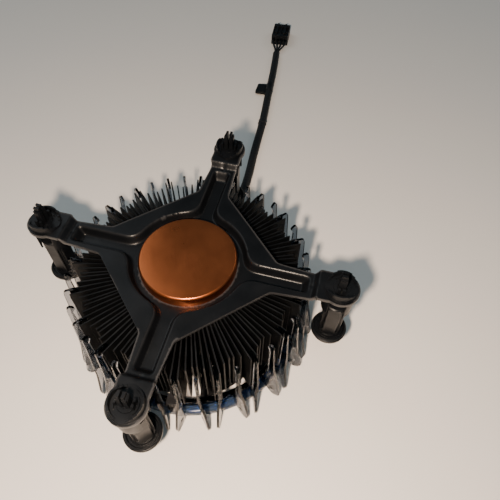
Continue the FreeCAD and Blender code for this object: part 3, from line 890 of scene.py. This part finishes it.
def build_fastener_pin(number):
    """The grooved column, the head that holds the cap, and the blade that enters the base."""
    place = fastener_place(number)
    shell = Shell()
    low = CAP_FLOOR + 0.3
    section = grooved_round(COLUMN_R, 3.85, (45, 135, 225, 315), 0.8, 8.0)
    shell.prism(section, low + 0.9, COLUMN_TOP - 1.4, place @ at(0, 0, 0, COLUMN_TURNS[number]))
    shell.lathe([(0.02, low), (COLUMN_R, low), (COLUMN_R, low + 0.9), (0.02, low + 0.9)], place, 48)
    shell.lathe([(0.02, COLUMN_TOP - 1.4), (COLUMN_R, COLUMN_TOP - 1.4), (COLUMN_R, COLUMN_TOP - 0.4),
                 (COLUMN_R - 0.5, COLUMN_TOP), (0.02, COLUMN_TOP)], place, 48)
    shell.lathe([(0.02, CAP_BOTTOM - 1.1), (3.0, CAP_BOTTOM - 1.1), (3.3, CAP_BOTTOM - 0.8),
                 (3.3, CAP_BOTTOM - 0.3), (2.6, CAP_BOTTOM - 0.3), (2.6, low), (0.02, low)], place, 40)
    shell.block((-1.3, -0.3, COLUMN_TOP - 0.1), (1.3, 0.3, COLUMN_TOP + 3.6), place)
    shell.finish("push_pin_%d" % number, "black_nylon", "pin_%d" % number,
                 ["fastener_pin_%d" % number], smooth=32, bevel=0.12)


def build_fastener_cap(number):
    """A dished disc with a stepped rim and six low ribs."""
    place = fastener_place(number)
    shell = Shell()
    floor = CAP_FLOOR
    profile = [(2.7, CAP_BOTTOM + 0.1), (3.0, CAP_BOTTOM), (CAP_R - 0.7, CAP_BOTTOM)]
    profile += arc((CAP_R - 0.75, CAP_BOTTOM + 0.75), 0.75, -90, 0, 5)
    profile += [(CAP_R, CAP_TOP - 0.9), (CAP_R - 0.15, CAP_TOP - 0.75), (CAP_R - 0.35, CAP_TOP - 0.7)]
    profile += [(CAP_R - 0.4, CAP_TOP - 0.2), (CAP_R - 0.6, CAP_TOP), (CAP_R - 1.0, CAP_TOP)]
    profile += [(CAP_R - 1.1, CAP_TOP - 0.3), (CAP_R - 1.2, floor + 0.15), (CAP_R - 1.4, floor)]
    profile += [(4.9, floor), (4.8, floor + 0.2), (4.55, floor + 0.2), (4.5, floor), (2.7, floor)]
    shell.lathe(profile, place, 72)
    for rib in range(6):
        turn = place @ Matrix.Rotation(math.radians(30 + 60 * rib), 4, "Z")
        shell.block((4.6, -0.3, floor - 0.1), (CAP_R - 1.1, 0.3, floor + 0.45), turn)
    shell.finish("turn_cap_%d" % number, "black_nylon", "cap_%d" % number,
                 ["fastener_cap_%d" % number], smooth=32, bevel=0.1)


# Cable

CABLE_D = 4.2
CABLE_ROUTE = [
    (0.0312, 0.0296, 0.0104),
    (0.0377, 0.0359, 0.0096),
    (0.0460, 0.0440, 0.0053),
    (0.0585, 0.0563, 0.0023),
    (0.0730, 0.0735, 0.0023),
    (0.0900, 0.0920, 0.0023),
    (0.1065, 0.1126, 0.0023),
    (0.1225, 0.1315, 0.0023),
    (0.1340, 0.1465, 0.0023),
]
COLLAR_PLACE = (0.0895, 0.0914, 0.0023)
CLIP_PLACE = (0.1103, 0.1171, 0.0023)
PLUG_START = (0.1434, 0.1573, 0.0033)
PLUG_LENGTH = 14.5
PLUG_HALF = 5.5         # half its width
CONTACT_PITCH = 2.54
LEAD_R = 0.575


def cable_frame(points, near):
    """A matrix in millimetres at the cable's point nearest to a place, with +X along the cable."""
    near = Vector(near)
    index = min(range(1, len(points) - 1), key=lambda i: (points[i] - near).length)
    along = (points[index + 1] - points[index - 1]).normalized()
    return Matrix.Translation(points[index] / MM) @ Matrix.Rotation(math.atan2(along.y, along.x), 4, "Z")


LENGTHWISE = Matrix.Rotation(math.radians(90), 4, "Y")     # lays a lathed shape along the cable


def build_collar(points):
    """A shrunk band, thicker where its ends roll over."""
    place = cable_frame(points, COLLAR_PLACE) @ LENGTHWISE
    shell = Shell()
    shell.lathe([(1.95, -1.5), (2.3, -1.4), (2.42, -1.15), (2.3, -0.8), (2.27, 0.0), (2.3, 0.8),
                 (2.42, 1.15), (2.3, 1.4), (1.95, 1.5)], place, 40)
    return shell.finish("shrunk_band", "heat_shrink", "base", ["cable_collar"], smooth=50)


def build_clip(points):
    """A tape sleeve with a flat, tapering tab that stands out to one side."""
    place = cable_frame(points, CLIP_PLACE)
    shell = Shell()
    shell.lathe([(1.95, -3.6), (2.2, -3.55), (2.28, -3.2), (2.2, -2.6), (2.22, 0.0), (2.2, 2.6),
                 (2.28, 3.2), (2.2, 3.55), (1.95, 3.6)], place @ LENGTHWISE, 40)
    level = -CABLE_D / 2 + 0.75
    tab = rounded([(-5.0, 1.2), (4.4, 1.2), (3.6, 7.6), (-4.6, 8.4)], 0.8, 3)
    shell.prism(tab, level - 0.1, level + 1.3, place)
    ridge = rounded([(-4.2, 2.6), (3.4, 2.6), (2.9, 6.6), (-3.9, 7.2)], 0.6, 3)
    shell.prism(ridge, level + 1.2, level + 1.5, place)
    return shell.finish("retaining_clip", "heat_shrink", "base", ["cable_clip"], smooth=40, bevel=0.15)


def plug_frame():
    """A matrix in millimetres at the plug's back, with +X towards its nose."""
    start = Vector(PLUG_START)
    way = start - Vector(CABLE_ROUTE[-1])
    return Matrix.Translation(start / MM) @ Matrix.Rotation(math.atan2(way.y, way.x), 4, "Z")


def contact_offsets():
    return [CONTACT_PITCH * (i - 1.5) for i in range(4)]


def build_leads():
    """Four leads that bow a little as they spread to the plug's back."""
    place = plug_frame()
    sleeve_end = Vector(CABLE_ROUTE[-1])
    gap = (Vector(PLUG_START) - sleeve_end).xy.length / MM
    drop = sleeve_end.z / MM - PLUG_START[2] / MM
    shell = Shell()
    for index, offset in enumerate(contact_offsets()):
        path = []
        for step in range(15):
            along = step / 14
            spread_out = 0.24 + 0.76 * smooth_step(along, 0.05, 0.9)
            bow = 0.45 * math.sin(math.pi * along) * (1 if index % 2 else -0.6)
            x = -gap - 1.5 + (gap + 2.9) * along
            y = offset * spread_out + 0.35 * math.sin(2 * math.pi * along + index)
            z = drop * (1 - smooth_step(along, 0.3, 1.0)) + bow
            path.append(place @ Vector((x, y, z)))
        shell.tube(path, LEAD_R, 14)
    return shell.finish("fan_leads", "wire_insulation", "base", ["lead_wires"], smooth=50)


def build_connector():
    """A four-way socket housing: channels for the contacts, ribs and two latch rails on top."""
    place = plug_frame()
    shell = Shell()
    half = PLUG_HALF
    shell.block((0, -half, -3.25), (PLUG_LENGTH, half, -0.85), place)
    shell.block((0, -half, 0.85), (PLUG_LENGTH, half, 2.3), place)
    for wall in range(5):
        middle = CONTACT_PITCH * (wall - 2)
        low = max(middle - 0.42, -half + 0.01)
        high = min(middle + 0.42, half - 0.01)
        shell.block((0.02, low, -0.9), (PLUG_LENGTH - 0.02, high, 0.9), place)
        shell.block((3.0, low + 0.05, 2.2), (11.4, high - 0.05, 3.2), place)
    shell.block((0.1, -half + 0.05, 2.2), (2.6, half - 0.05, 3.25), place)
    shell.block((11.8, -half + 0.05, 2.2), (PLUG_LENGTH - 0.1, half - 0.05, 3.25), place)
    for side in (-1, 1):
        near, far = both_ways(side, 2.0, 3.2)
        shell.block((2.0, near, 3.1), (PLUG_LENGTH - 1.0, far, 4.4), place)
        near, far = both_ways(side, half - 0.2, half)
        shell.block((1.5, near, -2.4), (9.0, far, -1.4), place)
    for offset in contact_offsets():
        shell.block((5.2, offset - 0.5, 2.2), (7.4, offset + 0.5, 2.75), place)
    return shell.finish("plug_housing", "connector_plastic", "base", ["connector_housing"],
                        smooth=40, bevel=0.16)


def build_cable():
    """The sleeve along its route, and what is threaded on it or hangs at its end."""
    curve = bpy.data.curves.new("fan_cable_sleeve", "CURVE")
    curve.dimensions = "3D"
    spline = curve.splines.new("NURBS")
    spline.points.add(len(CABLE_ROUTE) - 1)
    for point, place in zip(spline.points, CABLE_ROUTE):
        point.co = (*place, 1.0)
    spline.order_u = 3
    spline.use_endpoint_u = True
    curve.resolution_u = 12
    cable = bpy.data.objects.new("fan_cable_sleeve", curve)
    bpy.context.scene.collection.objects.link(cable)
    line = bpy.data.meshes.new_from_object(cable)
    points = [vertex.co.copy() for vertex in line.vertices]
    bpy.data.meshes.remove(line)
    curve.bevel_depth = CABLE_D / 2 * MM
    curve.bevel_resolution = 6
    curve.use_fill_caps = True
    curve.materials.append(MATERIALS["cable_sleeve"])
    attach(cable, "base")
    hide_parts("fan_cable")
    on_it = [build_collar(points), build_clip(points), build_leads(), build_connector(),
             nodes["connector_contacts"]]


# Stage, light and camera, in metres

FLOOR_HALF = 1.5
ROOM_COLOUR = (0.66, 0.92, 1.08)
ROOM_STRENGTH = 0.15
MIDDLE = (0.0, 0.0, 0.03)       # what the soft lamps face


def table_material(name, colour, rough):
    """A pale, even table top with a faint cloud in its colour."""
    made, tree, shader, coords = node_material(name)
    cloud = spread(tree, noise(tree, coords, 9.0, 3.0), 0.0, 1.0)
    dark = tuple(c * 0.985 for c in colour)
    tree.links.new(colour_mix(tree, cloud, dark, colour), shader.inputs["Base Color"])
    shader.inputs["Roughness"].default_value = rough
    return made


def build_stage():
    mesh = bpy.data.meshes.new("floor")
    side = FLOOR_HALF
    corners = [(-side, -side, 0), (side, -side, 0), (side, side, 0), (-side, side, 0)]
    mesh.from_pydata(corners, [], [(0, 1, 2, 3)])
    mesh.materials.append(table_material("pale_table", (0.765, 0.715, 0.665), 0.5))
    floor = bpy.data.objects.new("floor", mesh)
    bpy.context.scene.collection.objects.link(floor)


def add_lamp(name, place, size, power, colour):
    """A soft disc that faces the cooler."""
    lamp = bpy.data.lights.new(name, "AREA")
    lamp.shape = "DISK"
    lamp.size = size
    lamp.energy = power
    lamp.color = colour
    made = bpy.data.objects.new(name, lamp)
    made.location = place
    aim = Vector(MIDDLE) - Vector(place)
    made.rotation_euler = aim.to_track_quat("-Z", "Y").to_euler()
    bpy.context.scene.collection.objects.link(made)


def add_flash(place, radius, power, colour):
    """A small lamp beside the camera whose light fades with distance."""
    lamp = bpy.data.lights.new("key", "POINT")
    lamp.shadow_soft_size = radius
    lamp.energy = power
    lamp.color = colour
    lamp.use_nodes = True
    tree = lamp.node_tree
    fading = tree.nodes.new("ShaderNodeLightFalloff")
    fading.inputs["Strength"].default_value = 1.0
    tree.links.new(fading.outputs["Quadratic"], tree.nodes["Emission"].inputs["Strength"])
    made = bpy.data.objects.new("key", lamp)
    made.location = place
    bpy.context.scene.collection.objects.link(made)


def build_lights():
    """A warm lamp beside the camera, a cool room, and soft lamps overhead and to the sides."""
    world = bpy.data.worlds.new("soft_room")
    world.use_nodes = True
    background = world.node_tree.nodes["Background"]
    background.inputs["Color"].default_value = (*ROOM_COLOUR, 1)
    background.inputs["Strength"].default_value = ROOM_STRENGTH
    bpy.context.scene.world = world
    add_flash((-0.062, -0.098, 0.185), radius=0.006, power=4.2, colour=(1.0, 0.79, 0.615))
    add_lamp("ceiling", (-0.3, -0.3, 1.5), size=0.9, power=3.2, colour=(0.74, 0.93, 1.0))
    add_lamp("window", (-0.35, 1.0, 1.2), size=0.9, power=3.2, colour=(0.92, 0.97, 1.0))
    add_lamp("side", (1.2, 0.1, 0.9), size=0.4, power=1.0, colour=(1.0, 0.86, 0.74))


CAMERA_PLACE = Vector((-0.0328, -0.0938, 0.1894))
CAMERA_TARGET = Vector((0.0382, 0.0190, 0.0))
CAMERA_ROLL = 1.87      # degrees
CAMERA_LENS = 34.72     # millimetres, as is the sensor's width


def build_camera():
    """The photograph's viewpoint."""
    data = bpy.data.cameras.new("camera")
    data.lens = CAMERA_LENS
    data.sensor_width = 36.0
    data.clip_start = 0.005
    made = bpy.data.objects.new("camera", data)
    look = CAMERA_TARGET - CAMERA_PLACE
    facing = look.to_track_quat("-Z", "Y").to_matrix().to_4x4()
    roll = Matrix.Rotation(math.radians(CAMERA_ROLL), 4, "Z")
    made.matrix_world = Matrix.Translation(CAMERA_PLACE) @ facing @ roll
    bpy.context.scene.collection.objects.link(made)
    bpy.context.scene.camera = made


paint_cad_nodes()
build_bracket()
build_light_shroud()
build_accent_ring()
build_core()
build_rotor()
for number in range(1, 5):
    build_fastener_base(number)
    build_fastener_pin(number)
    build_fastener_cap(number)
build_cable()
build_stage()
build_lights()
build_camera()
